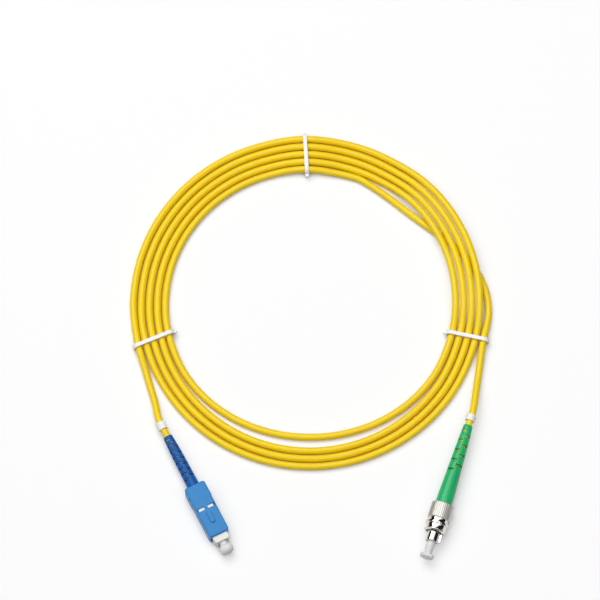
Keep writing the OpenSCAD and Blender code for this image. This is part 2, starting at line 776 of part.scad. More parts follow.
cable_coil();
sc_lead();
fc_lead();
top_tie();
left_tie();
right_tie();
sc_marker_clip();
fc_marker_clip();
sc_grip();
sc_plug_frame();
sc_ferrule();
sc_ferrule_flange();
sc_spring();
sc_rear_body();
sc_crimp_sleeve();
sc_aramid_yarn();
sc_fibre();
sc_boot();
sc_dust_cap();
fc_coupling_nut();
fc_barrel();
fc_ferrule();
fc_ferrule_flange();
fc_spring();
fc_rear_body();
fc_crimp_sleeve();
fc_aramid_yarn();
fc_fibre();
fc_boot();
fc_dust_cap();
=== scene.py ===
"""Looks of a fibre optic patch cord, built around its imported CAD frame. Lengths are metres."""
import json
import math

import bmesh
import bpy
from mathutils import Matrix, Vector


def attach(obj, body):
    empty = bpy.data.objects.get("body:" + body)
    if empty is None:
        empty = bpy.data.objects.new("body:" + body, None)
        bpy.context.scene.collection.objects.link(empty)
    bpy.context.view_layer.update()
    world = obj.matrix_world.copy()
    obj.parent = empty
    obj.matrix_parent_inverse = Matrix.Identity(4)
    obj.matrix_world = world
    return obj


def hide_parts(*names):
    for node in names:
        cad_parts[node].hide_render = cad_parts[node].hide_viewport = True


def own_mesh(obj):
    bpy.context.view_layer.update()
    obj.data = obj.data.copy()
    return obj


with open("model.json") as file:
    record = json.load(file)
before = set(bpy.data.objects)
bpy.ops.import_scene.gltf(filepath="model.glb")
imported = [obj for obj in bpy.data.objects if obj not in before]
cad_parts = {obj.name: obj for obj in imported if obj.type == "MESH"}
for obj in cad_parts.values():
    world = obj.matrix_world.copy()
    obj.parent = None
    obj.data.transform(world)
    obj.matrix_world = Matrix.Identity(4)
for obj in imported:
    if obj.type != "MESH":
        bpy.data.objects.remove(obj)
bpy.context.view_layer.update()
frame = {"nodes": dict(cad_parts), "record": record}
MM = 0.001

# ---- Camera: long lens, from the plugs' side and high above the table ----

VIEW_ELEVATION = math.radians(69)
VIEW_WIDTH = 258 * MM
VIEW_CENTRE = Vector((-4.5, 21.6, 0)) * MM
LENS, SENSOR, SIGHT = 300, 36, 20


def make_camera():
    camera = bpy.data.objects.new("camera", bpy.data.cameras.new("camera"))
    camera.data.lens = LENS
    camera.data.sensor_width = SENSOR
    camera.data.clip_end = SIGHT
    distance = VIEW_WIDTH * LENS / SENSOR
    back = Vector((0, -math.cos(VIEW_ELEVATION), math.sin(VIEW_ELEVATION)))
    camera.location = VIEW_CENTRE + distance * back
    camera.rotation_euler = (math.pi / 2 - VIEW_ELEVATION, 0, 0)
    bpy.context.collection.objects.link(camera)
    bpy.context.scene.camera = camera


make_camera()

# ---- Route of the cable, in millimetres and degrees as in the CAD source ----

CABLE_D = 3.0
CABLE_R = CABLE_D / 2
CABLE_SIDES, CURVE_STEP = 24, 2
PITCH = CABLE_D + 0.45
COIL_R = 75.2
COIL_CENTRE = Vector((-0.9, 19.5, 0))
OVAL = 1.022
TURNS_FROM = 195
LEFT_TIE, TOP_TIE, RIGHT_TIE = 194.3, 90.9, -12.9
LEFT_SLANT, TOP_SLANT, RIGHT_SLANT = 8.4, 2.3, 0.7
RING_STEP = 15
COIL_RINGS = 104
FIRST_TURN = -1 / 24
LAST_TURN = FIRST_TURN + COIL_RINGS * RING_STEP / 360
TIE_LIFT = 1.1
TIE_REACH = 15
CROSS_AT, CROSS_LIFT, CROSS_FLAT, CROSS_REACH = 20, 3.45, 18, 42
WANDER_TURN, WANDER_REACH, WANDER = 3.75, 0.2, 2.6

COIL_LEFT = COIL_CENTRE - Vector((COIL_R, 0, 0))
COIL_RIGHT = COIL_CENTRE + Vector((COIL_R, 0, 0))
SC_AT, SC_HEADING = COIL_LEFT + Vector((15.4, -61.6, 3.7)), math.radians(-63.2)
FC_AT, FC_HEADING = COIL_RIGHT + Vector((-7.3, -57.1, 5)), math.radians(-107.3)
SC_CABLE_END, FC_CABLE_END = 23.2, 29.15
SC_STRAIGHT, FC_STRAIGHT = 8, 7
# Points of the free leads, from the coil's left and right sides
SC_LEAD = [(5.3, -30, 2), (7.3, -37, 1.6), (9.8, -45.7, 2.2)]
FC_LEAD = [(-1.9, -28, 2), (-3.1, -36, 2.2), (-4.2, -44, 3.8)]
# Angles at which the lead crosses under the turns, with the distance inside the outermost turn
FC_CROSSING = [(62.5, 15.4), (53, 16.1), (42.5, 15.5), (35.5, 13.7), (29.5, 11.2), (23.5, 7.9), (17.5, 4.5),
               (11.5, 1.4), (5.5, -0.9), (0, -2), (-5, -2.2)]
LEAD_OUTSIDE_TIE = 1.6


def bump(offset, flat, reach):
    """1 within flat of the middle, and down to 0 at reach."""
    x = max(0.0, min(1.0, (abs(offset) - flat) / (reach - flat)))
    return math.cos(math.pi / 2 * x) ** 2


def wrap(angle):
    """The same angle between -180 and 180."""
    return angle - 360 * round(angle / 360)


def around(angle, r, z):
    a = math.radians(angle)
    return COIL_CENTRE + Vector((r * math.cos(a), OVAL * r * math.sin(a), z))


def turn_r(turn):
    """Radius of the spiral. The innermost turn strays inwards once."""
    return COIL_R - PITCH * turn - WANDER * bump(turn - WANDER_TURN, 0, WANDER_REACH)


def coil_point(turn):
    """Centre of the cable in the coil, turn by turn from the left tie, clockwise and inwards."""
    angle = TURNS_FROM - 360 * (turn - FIRST_TURN)
    tie = max(bump(wrap(angle - a), 0, TIE_REACH) for a in (LEFT_TIE, TOP_TIE, RIGHT_TIE))
    cross = bump(wrap(angle - CROSS_AT), CROSS_FLAT, CROSS_REACH)
    return around(angle, turn_r(turn), CABLE_R + max(TIE_LIFT * tie, CROSS_LIFT * cross))


def coil_heading(turn, nudge=0.001):
    d = coil_point(turn + nudge) - coil_point(turn - nudge)
    return Vector((d.x, d.y, 0)).normalized()


def at_tie(turn):
    """The same turn, moved to a tie's angle where it is close to one."""
    for tie in (LEFT_TIE, TOP_TIE, RIGHT_TIE):
        off = wrap(tie - TURNS_FROM + 360 * (turn - FIRST_TURN))
        if abs(off) < RING_STEP / 4:
            return turn - off / 360
    return turn


def on_axis(at, heading, s):
    return at + s * Vector((math.cos(heading), math.sin(heading), 0))


def cable_route():
    """Points from the crimp in the SC boot, round the coil, to the crimp in the FC boot."""
    turns = [coil_point(at_tie(FIRST_TURN + i * RING_STEP / 360)) for i in range(COIL_RINGS + 1)]
    out, onward = coil_heading(FIRST_TURN), coil_heading(LAST_TURN)
    sc = [on_axis(SC_AT, SC_HEADING, s) for s in (SC_CABLE_END, SC_CABLE_END / 2, 0, -SC_STRAIGHT)]
    fc = [on_axis(FC_AT, FC_HEADING, s) for s in (-FC_STRAIGHT, 0, FC_CABLE_END / 2, FC_CABLE_END)]
    return (sc + [COIL_LEFT + Vector(p) for p in reversed(SC_LEAD)]
            + [turns[0] - 2 * CABLE_D * out, turns[0] - CABLE_D * out] + turns
            + [turns[-1] + CABLE_D * onward, turns[-1] + 2 * CABLE_D * onward]
            + [around(angle, COIL_R - inset, CABLE_R) for angle, inset in FC_CROSSING]
            + [around(RIGHT_TIE, COIL_R + LEAD_OUTSIDE_TIE, CABLE_R + TIE_LIFT)]
            + [COIL_RIGHT + Vector(p) for p in FC_LEAD] + fc)


def between(p, q, start, end, t):
    """Point that passes p at start and q at end."""
    return p + (q - p) * (t - start) / (end - start)


def smooth(points, step):
    """Catmull-Rom curve through the points, with a point about every step."""
    ends = [2 * points[0] - points[1]] + points + [2 * points[-1] - points[-2]]
    curve = []
    for a, b, c, d in zip(ends, ends[1:], ends[2:], ends[3:]):
        ka = 0.0
        kb = ka + math.sqrt((b - a).length)
        kc = kb + math.sqrt((c - b).length)
        kd = kc + math.sqrt((d - c).length)
        count = max(1, round((c - b).length / step))
        for i in range(count):
            t = kb + (kc - kb) * i / count
            ab, bc, cd = between(a, b, ka, kb, t), between(b, c, kb, kc, t), between(c, d, kc, kd, t)
            curve.append(between(between(ab, bc, ka, kc, t), between(bc, cd, kb, kd, t), kb, kc, t))
    return curve + [points[-1]]


def skin(rings, closed=False):
    """Faces between equal rings of points. The ends are closed, or joined to each other."""
    mesh = bmesh.new()
    grid = [[mesh.verts.new(point) for point in ring] for ring in rings]
    for a, b in zip(grid, grid[1:] + grid[:1] if closed else grid[1:]):
        for k in range(len(a)):
            mesh.faces.new((a[k - 1], a[k], b[k], b[k - 1]))
    if not closed:
        mesh.faces.new(grid[0])
        mesh.faces.new(grid[-1])
    bmesh.ops.recalc_face_normals(mesh, faces=mesh.faces)
    return mesh


def tube(points, radius, sides):
    """Round tube along a route, which is nowhere upright."""
    rings = []
    for i, p in enumerate(points):
        d = (points[min(i + 1, len(points) - 1)] - points[max(i - 1, 0)]).normalized()
        side = d.cross(Vector((0, 0, 1))).normalized()
        up = side.cross(d)
        rings.append([p + radius * (math.cos(a) * side + math.sin(a) * up)
                      for a in (2 * math.pi * k / sides for k in range(sides))])
    return skin(rings)


def solid(name, mesh):
    data = bpy.data.meshes.new(name)
    mesh.to_mesh(data)
    mesh.free()
    piece = bpy.data.objects.new(name, data)
    bpy.context.collection.objects.link(piece)
    return piece


def make_cable():
    points = [MM * Vector((p.x, p.y, max(p.z, CABLE_R))) for p in smooth(cable_route(), CURVE_STEP)]
    cable = solid("cable", tube(points, CABLE_R * MM, CABLE_SIDES))
    cable.data.shade_smooth()
    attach(cable, "cord")
    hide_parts("cable_coil", "sc_lead", "fc_lead")
    return cable, points


cable, cable_path = make_cable()

# ---- Nodes ----

# Sockets of a Mix node, when it mixes colours and when it mixes numbers
MIX_FACTOR = 0
COLOUR_A, COLOUR_B, COLOUR_OUT = 6, 7, 2
NUMBER_A, NUMBER_B, NUMBER_OUT = 2, 3, 0


def ramp(tree, value, low, high, to_low=0.0, to_high=1.0):
    """Number that follows a value from low to high, and stays within its own ends."""
    node = tree.nodes.new("ShaderNodeMapRange")
    for socket, number in (("From Min", low), ("From Max", high), ("To Min", to_low), ("To Max", to_high)):
        node.inputs[socket].default_value = number
    tree.links.new(value, node.inputs["Value"])
    return node.outputs["Result"]


def noise(tree, place, scale, detail):
    node = tree.nodes.new("ShaderNodeTexNoise")
    node.inputs["Scale"].default_value = scale
    node.inputs["Detail"].default_value = detail
    tree.links.new(place.outputs["Object"], node.inputs["Vector"])
    return node.outputs["Fac"]


def colour_mix(tree, factor, a, b):
    """Mix node between two colours, of which b may be linked later."""
    node = tree.nodes.new("ShaderNodeMix")
    node.data_type = "RGBA"
    node.inputs[COLOUR_A].default_value = a
    node.inputs[COLOUR_B].default_value = b
    tree.links.new(factor, node.inputs[MIX_FACTOR])
    return node


def calculate(tree, operation, a, b):
    """Number made of two others."""
    node = tree.nodes.new("ShaderNodeMath")
    node.operation = operation
    tree.links.new(a, node.inputs[0])
    tree.links.new(b, node.inputs[1])
    return node.outputs[0]


def any_ray(tree, *kinds):
    """1 for the rays named, and 0 for others."""
    path = tree.nodes.new("ShaderNodeLightPath")
    seen = path.outputs[kinds[0]]
    for kind in kinds[1:]:
        seen = calculate(tree, "MAXIMUM", seen, path.outputs[kind])
    return seen


# ---- Materials ----


def linear(red, green, blue):
    """Colour written as 0 to 255 display values."""
    return tuple(((c / 255 + 0.055) / 1.055) ** 2.4 if c > 10 else c / 255 / 12.92
                 for c in (red, green, blue)) + (1.0,)


def surface(name, base, tint, roughness, spread, patches, grain, relief, **sockets):
    """Principled material: patches of a second tint, and a grain that varies roughness and height."""
    material = bpy.data.materials.new(name)
    material.use_nodes = True
    tree = material.node_tree
    shader = tree.nodes["Principled BSDF"]
    for socket, value in sockets.items():
        shader.inputs[socket.replace("_", " ")].default_value = value
    place = tree.nodes.new("ShaderNodeTexCoord")
    colour = colour_mix(tree, noise(tree, place, patches, 3), base, tint)
    tree.links.new(colour.outputs[COLOUR_OUT], shader.inputs["Base Color"])
    fine = noise(tree, place, grain, 4)
    tree.links.new(ramp(tree, fine, 0, 1, roughness - spread, roughness + spread), shader.inputs["Roughness"])
    height = tree.nodes.new("ShaderNodeBump")
    height.inputs["Strength"].default_value = 0.5
    height.inputs["Distance"].default_value = relief
    tree.links.new(fine, height.inputs["Height"])
    tree.links.new(height.outputs["Normal"], shader.inputs["Normal"])
    return material


JACKET = surface("jacket", linear(253, 221, 10), linear(249, 211, 5), roughness=0.36, spread=0.05,
                 patches=60, grain=2500, relief=0.00002, Specular_IOR_Level=0.4)
TIE = surface("tie", linear(250, 250, 248), linear(244, 243, 240), roughness=0.42, spread=0.08,
              patches=300, grain=3000, relief=0.00003)
BLUE = surface("blue", linear(34, 136, 205), linear(26, 126, 196), roughness=0.36, spread=0.06,
               patches=200, grain=5000, relief=0.00001, Specular_IOR_Level=0.3)
BOOT_BLUE = surface("boot_blue", linear(18, 98, 176), linear(12, 88, 165), roughness=0.42, spread=0.06,
                    patches=200, grain=5000, relief=0.00001, Specular_IOR_Level=0.25)
WHITE = surface("white", linear(236, 236, 230), linear(228, 227, 220), roughness=0.35, spread=0.06,
                patches=200, grain=4000, relief=0.00001)
GREEN = surface("green", linear(32, 188, 114), linear(24, 178, 104), roughness=0.36, spread=0.06,
                patches=200, grain=5000, relief=0.00001)
NICKEL = surface("nickel", linear(222, 220, 214), linear(210, 208, 201), roughness=0.1, spread=0.03,
                 patches=500, grain=6000, relief=0.0000007, Metallic=1.0)
KNURLED = surface("knurled", linear(214, 212, 206), linear(202, 200, 193), roughness=0.42, spread=0.08,
                  patches=500, grain=6000, relief=0.000004, Metallic=1.0)
STEEL = surface("steel", linear(190, 190, 192), linear(178, 178, 182), roughness=0.3, spread=0.08,
                patches=500, grain=6000, relief=0.000004, Metallic=1.0)
CERAMIC = surface("ceramic", linear(240, 238, 230), linear(234, 232, 224), roughness=0.12, spread=0.03,
                  patches=400, grain=4000, relief=0.000002)
BUFFER = surface("buffer", linear(238, 238, 236), linear(230, 230, 226), roughness=0.4, spread=0.05,
                 patches=400, grain=4000, relief=0.000005)
YARN = surface("yarn", linear(224, 190, 96), linear(205, 168, 74), roughness=0.6, spread=0.1,
               patches=900, grain=6000, relief=0.00005)
CAP = surface("cap", linear(253, 254, 253), linear(246, 248, 248), roughness=0.3, spread=0.06,
              patches=200, grain=3000, relief=0.00001, Transmission_Weight=0.2, IOR=1.3,
              Subsurface_Weight=0.5, Subsurface_Radius=(1, 1, 1), Subsurface_Scale=0.001)

SLOT_MATERIAL = {"jacket": JACKET, "tie_plastic": TIE, "blue_plastic": BLUE, "frame_plastic": WHITE,
                 "green_rubber": GREEN, "nickel": NICKEL, "steel": STEEL, "ceramic": CERAMIC,
                 "buffer": BUFFER, "yarn": YARN, "cap_plastic": CAP}


def dress_nodes():
    slots = {part["node"]: part["material_slot"] for part in frame["record"]["subparts"]}
    for name, node in frame["nodes"].items():
        material = SLOT_MATERIAL[slots[name]]
        for slot in node.material_slots:
            slot.material = material
        if not node.material_slots:
            node.data.materials.append(material)


dress_nodes()
cable.data.materials.append(JACKET)

# ---- Shapes: drawn in millimetres, in a plug's or a tie's own axes, and then placed ----


def plug_axes(at, heading):
    """A plug's own axes: Z runs to its tip, Y up and X to the left of the way it points."""
    side = Vector((-math.sin(heading), math.cos(heading), 0))
    ahead = Vector((math.cos(heading), math.sin(heading), 0))
    turn = Matrix((side, (0, 0, 1), ahead)).transposed().to_4x4()
    return Matrix.Translation(MM * at) @ turn @ Matrix.Scale(MM, 4)


SC_PLACE = plug_axes(SC_AT, SC_HEADING)
FC_PLACE = plug_axes(FC_AT, FC_HEADING)
BOTH_SIDES = (-1, 1)


def soften(corners, radius, closed=False, steps=3):
    """The same outline with its corners rounded, by at most this share of the edges beside them."""
    most = 0.45
    outline = []
    for i, corner in enumerate(corners):
        p = Vector(corner)
        if not closed and i in (0, len(corners) - 1):
            outline.append(p)
            continue
        before, after = Vector(corners[i - 1]) - p, Vector(corners[(i + 1) % len(corners)]) - p
        a = p + before.normalized() * min(radius, most * before.length)
        b = p + after.normalized() * min(radius, most * after.length)
        for k in range(steps + 1):
            t = k / steps
            outline.append((1 - t) ** 2 * a + 2 * t * (1 - t) * p + t ** 2 * b)
    return outline


def lathe(profile, closed=True, sides=72, dent=None):
    """Body of revolution from [radius, station] corners. A dent takes from the radius at an angle."""
    angles = [2 * math.pi * k / sides for k in range(sides)]
    rings = []
    for r, z in profile:
        radii = [r - dent(a, r, z) if dent else r for a in angles]
        rings.append([(radius * math.cos(a), radius * math.sin(a), z) for radius, a in zip(radii, angles)])
    return skin(rings, closed)


def rounded(half_x, half_y, corner, steps=5):
    """Corners of a rectangle with round corners."""
    outline = []
    for turn, (x, y) in enumerate(((1, 1), (-1, 1), (-1, -1), (1, -1))):
        for k in range(steps + 1):
            a = math.pi / 2 * (turn + k / steps)
            outline.append((x * (half_x - corner) + corner * math.cos(a),
                            y * (half_y - corner) + corner * math.sin(a)))
    return outline


def bar(x, y, z):
    """Straight-sided cutter or pad between two places along each axis."""
    return skin([[(x[i], y[j], z[k]) for i, j in ((0, 0), (1, 0), (1, 1), (0, 1))] for k in (0, 1)])


def about(middle, half):
    """Both ends of a stretch."""
    return middle - half, middle + half


def bake(piece):
    """The piece keeps what its modifiers make of its mesh."""
    bpy.context.view_layer.update()
    shaped = bpy.data.meshes.new_from_object(piece.evaluated_get(bpy.context.evaluated_depsgraph_get()))
    piece.modifiers.clear()
    piece.data = shaped


def combine(piece, operation, *meshes):
    for mesh in meshes:
        tool = solid("tool", mesh)
        change = piece.modifiers.new("change", "BOOLEAN")
        change.operation = operation
        change.solver = "EXACT"
        change.object = tool
        bake(piece)
        bpy.data.objects.remove(tool)


def put(piece, place, body, slot, material, *nodes, sharp=38):
    """The piece is done: it goes to its place, and stands for these CAD nodes."""
    piece.data.transform(place)
    piece.data.materials.clear()
    piece.data.materials.append(material)
    piece.data.shade_smooth()
    piece.data.set_sharp_from_angle(angle=math.radians(sharp))
    evening = piece.modifiers.new("evening", "WEIGHTED_NORMAL")
    evening.keep_sharp = True
    bake(piece)
    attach(piece, body)
    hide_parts(*nodes)
    return piece


# ---- Ties and marker clips ----

TIE_W, TIE_T, TIE_GAP = 1.8, 0.8, 0.3
TAIL, PINCH_LEN, PINCH_FLARE = 1.0, 0.25, 0.1
# The pinched ends lie side by side with a hairline between them
HAIRLINE = 0.01
CLIP_R, CLIP_BORE, CLIP_SLIT, CLIP_SLIT_AT = 2.2, 1.55, 1.0, 30
CLIP_STEPS, CLIP_ROUND = 40, 0.22
SC_CLIP_AT, SC_CLIP_LEN = -5.4, 3.5
FC_CLIP_AT, FC_CLIP_LEN = -3.6, 2.8


def end_size(sizes, i, last):
    """Size of ring i, where the rings next to both ends are smaller."""
    return sizes[min(i, last - i, len(sizes) - 1)]


def strip(path, half_w, half_t):
    """Flat strip with round edges along a path in the XY plane, thinned towards its ends."""
    rings, last = [], len(path) - 1
    for i, p in enumerate(path):
        d = (path[min(i + 1, last)] - path[max(i - 1, 0)]).normalized()
        side = Vector((-d.y, d.x))
        size = end_size((0.55, 0.85, 1.0), i, last)
        rings.append([(*(p + v * side), u) for u, v in
                      rounded(half_w * size, half_t * size, 0.8 * half_t * size, 3)])
    return skin(rings)


def tie_path(inner, outer):
    """Outline of a tie round strands whose centres lie between two places, seen along them."""
    r = CABLE_R + TIE_GAP + TIE_T / 2
    end, pinch = inner - r - TIE_T / 2 - TAIL, TIE_T / 2

    def arc(x, angles):
        return [(x + r * math.cos(math.radians(a)), r * math.sin(math.radians(a))) for a in angles]

    lower = [(end, -pinch), (end + PINCH_LEN, -pinch), (inner - r - PINCH_FLARE, -pinch)]
    lower += arc(inner, range(205, 271, 13))
    lower += [(inner + (outer - inner) * k / 8, -r) for k in range(1, 8)]
    upper = [(x, -y) for x, y in reversed(lower)]
    return [Vector(p) for p in lower + arc(outer, range(-90, 91, 15)) + upper]


def make_tie(name, angle, slant, lead_outside=None):
    """Strip bent round all turns at one angle of the coil, with its ends pinched together inside."""
    first = FIRST_TURN + (TURNS_FROM - angle) / 360
    radii = [turn_r(first + k) for k in range(6) if first + k <= LAST_TURN]
    radii += [COIL_R + lead_outside] if lead_outside else []
    a = math.radians(angle)
    out = Vector((math.cos(a), OVAL * math.sin(a)))
    # The CAD's turns run straight beside a tie, and so a little further in
    tilt, spread = math.radians(slant), max(radii) - min(radii)
    drop = (TIE_W + spread * math.sin(tilt)) / 2 * math.tan(math.radians(RING_STEP / 2))
    middle = out.length * (min(radii) + max(radii)) / 2 - drop / 2
    outer = (out.length * spread + drop) / 2 / math.cos(tilt)
    across = Vector((out.x, out.y, 0)).normalized()
    centre = COIL_CENTRE + middle * across + Vector((0, 0, CABLE_R + TIE_LIFT))
    level = Matrix.Rotation(tilt, 3, "Z") @ across
    turn = Matrix((level, (0, 0, 1), level.cross(Vector((0, 0, 1))))).transposed().to_4x4()
    tie = solid(name + "_strip", strip(tie_path(-outer, outer), TIE_W / 2, TIE_T / 2 - HAIRLINE))
    put(tie, Matrix.Translation(MM * centre) @ turn @ Matrix.Scale(MM, 4), "cord", "tie_plastic", TIE, name,
        sharp=60)


def make_clip(name, place, station, length):
    """Open ring with round edges."""
    half_slit = math.degrees(math.asin(CLIP_SLIT / 2 / CLIP_R))
    middle, half_t = (CLIP_R + CLIP_BORE) / 2, (CLIP_R - CLIP_BORE) / 2
    sweep = 360 - 2 * half_slit
    rings = []
    for k in range(CLIP_STEPS + 1):
        a = math.radians(CLIP_SLIT_AT + half_slit + sweep * k / CLIP_STEPS)
        size = end_size((0.8, 0.95, 1.0), k, CLIP_STEPS)
        rings.append([((middle + u * size) * math.cos(a), (middle + u * size) * math.sin(a), station + v)
                      for u, v in rounded(half_t, length / 2, CLIP_ROUND, 3)])
    clip = solid(name + "_ring", skin(rings))
    put(clip, place, "cord", "tie_plastic", TIE, name)


# ---- Boots: outline and bore are [radius, station] corners from the thin end ----

BOOT_COLUMNS, BOOT_OFFSET, BOOT_ROUND = 72, 2.5, 0.09
SLOT_REACH = 42.5
SC_BOOT = {"outline": [(1.8, 0), (1.93, 0.06), (2.0, 0.2), (2.4, 8), (2.65, 22), (2.65, 29.2)],
           "bore": [(1.55, 0), (1.55, SC_CABLE_END), (2.2, SC_CABLE_END + 0.05), (2.2, 29.2)],
           "slots_from": 1.9, "slots": 15, "pitch": 1.4, "slot_w": 0.54}
FC_BOOT = {"outline": [(1.8, 0), (1.93, 0.06), (2.0, 0.2), (2.4, 7), (3.5, 33), (3.5, 38.95)],
           "bore": [(1.55, 0), (1.55, FC_CABLE_END), (2.2, FC_CABLE_END + 0.05), (2.2, 38.95)],
           "slots_from": 3, "slots": 9, "pitch": 2.3, "slot_w": 0.9}


def radius_at(corners, z):
    for (r0, z0), (r1, z1) in zip(corners, corners[1:]):
        if z <= z1:
            return r0 + (r1 - r0) * (z - z0) / (z1 - z0)
    return corners[-1][0]


def make_boot(name, place, slot, material, outline, bore, slots_from, slots, pitch, slot_w):
    """Sleeve with pairs of slots through its wall. Each pair is turned a quarter from the one before."""
    edges = [slots_from + pitch * i + side * slot_w / 2 for i in range(slots) for side in BOTH_SIDES]
    stations = sorted({round(z, 3) for z in [z for _, z in outline + bore] + edges})
    angles = [math.radians(BOOT_OFFSET + 360 * k / BOOT_COLUMNS) for k in range(BOOT_COLUMNS)]
    mesh = bmesh.new()

    def rings(corners):
        return [[mesh.verts.new((radius_at(corners, z) * math.cos(a), radius_at(corners, z) * math.sin(a), z))
                 for a in angles] for z in stations]

    def is_wall(j, k):
        if j < 0 or j > len(stations) - 2:
            return False
        z = (stations[j] + stations[j + 1]) / 2
        row = round((z - slots_from) / pitch)
        if not 0 <= row < slots or abs(z - slots_from - pitch * row) > slot_w / 2:
            return True
        middle = (BOOT_OFFSET + 360 * (k + 0.5) / BOOT_COLUMNS) % 180
        return abs(middle - (45 if row % 2 else 135)) > SLOT_REACH

    outer, inner = rings(outline), rings(bore)
    for j in range(len(stations) - 1):
        for k in range(BOOT_COLUMNS):
            if not is_wall(j, k):
                continue
            n = (k + 1) % BOOT_COLUMNS
            mesh.faces.new((outer[j][k], outer[j][n], outer[j + 1][n], outer[j + 1][k]))
            mesh.faces.new((inner[j][k], inner[j + 1][k], inner[j + 1][n], inner[j][n]))
            for is_next, (j0, k0), (j1, k1) in ((is_wall(j - 1, k), (j, k), (j, n)),
                                                (is_wall(j + 1, k), (j + 1, k), (j + 1, n)),
                                                (is_wall(j, (k - 1) % BOOT_COLUMNS), (j, k), (j + 1, k)),
                                                (is_wall(j, n), (j, n), (j + 1, n))):
                if not is_next:
                    mesh.faces.new((outer[j0][k0], outer[j1][k1], inner[j1][k1], inner[j0][k0]))
    bmesh.ops.delete(mesh, geom=[v for v in mesh.verts if not v.link_faces], context="VERTS")
    bmesh.ops.recalc_face_normals(mesh, faces=mesh.faces)
    boot = solid(name + "_sleeve", mesh)
    rounding = boot.modifiers.new("rounding", "BEVEL")
    rounding.width = BOOT_ROUND
    rounding.segments = 2
    rounding.limit_method = "ANGLE"
    rounding.angle_limit = math.radians(50)
    bake(boot)
    put(boot, place, "cord", slot, material, name, sharp=60)


# ---- SC plug: stations are millimetres along its axis from the thin end of its boot ----

SC_TIP, SC_GRIP_FROM, SC_GRIP_LEN = 53.7, 25.2, 24.5
SC_FRAME_FROM, SC_FRAME_TO = 32.5, 52.7
# The lip that holds the ferrule's flange back lies behind the tip, in both plugs
LIP_BACK, LIP_FRONT = 8.75, 7.55
BORE_R, LIP_R, MOUTH_R = 2.1, 1.7, 2.2

GRIP_HALF_W, GRIP_HALF_H, GRIP_CORNER = 4.5, 3.7, 0.6
GRIP_REAR_HALF_W, GRIP_REAR_LEN, GRIP_END = 4.7, 8.3, 1.2
KEY_HALF_W, KEY_FROM, KEY_TO = 1.05, 13.6, 18.9
# Inset and height of each layer of the key, whose top edge is round
KEY_LAYERS = [(0, 3.2), (0, 4.22), (0.05, 4.34), (0.16, 4.4)]
PASSAGE_HALF_W, PASSAGE_HALF_H, PASSAGE_CORNER = 3.5, 2.8, 0.4
WINDOW_AT, WINDOW_HALF_W, WINDOW_DEPTH, WINDOW_SPAN = 2.3, 1.6, 1, (10.8, 12.2)
# Room in the grip for the frame's pads, its side stops, and the adapter's hooks
PADS_RUN_HALF_W, PADS_RUN_FROM_Y, PADS_RUN_TO_Y, PADS_RUN_SPAN = 1.45, 2.2, 3.35, (10.7, 14.3)
STOPS_RUN_HALF_W, STOPS_RUN_HALF_H, STOPS_RUN_SPAN = 3.95, 1.1, (8.4, 12.6)
HOOKS_RUN_HALF_W, HOOKS_RUN_HALF_H, HOOKS_RUN_LEN = 4.05, 1.4, 9

FRAME_HALF_W, FRAME_HALF_H, FRAME_END, FRAME_CORNER = 3.4, 2.7, 1.1, 0.4
PADS_AT, PADS_HALF_W, PADS_HALF_H, PADS_SPAN = 2.05, 1.3, 3.2, (36.1, 37.3)
STOPS_HALF_W, STOPS_HALF_H, STOPS_SPAN = 3.8, 1, (33.7, 35.7)
SHOULDER_FROM_X, SHOULDER_HALF_H, SHOULDER_SPAN = 2.7, 1.4, (45.4, 48.8)
# How far a cutter reaches out of what it cuts
OUTSIDE = 1


def half_at(z, start, end, half, radius):
    """Half size at z of a bar whose ends are rounded off by a radius."""
    depth = min(radius, max(radius - (z - start), radius - (end - z), 0))
    return half - radius + math.sqrt(radius ** 2 - depth ** 2)


def key_layer(inset, y):
    """Outline of the key at a height: square at the back and round at the front."""
    half, back, front = KEY_HALF_W - inset, KEY_FROM + inset, KEY_TO - KEY_HALF_W
    turns = [math.pi * k / 12 for k in range(13)]
    arc = [(-half * math.cos(a), y, front + half * math.sin(a)) for a in turns]
    return [(half, y, back), (-half, y, back)] + arc


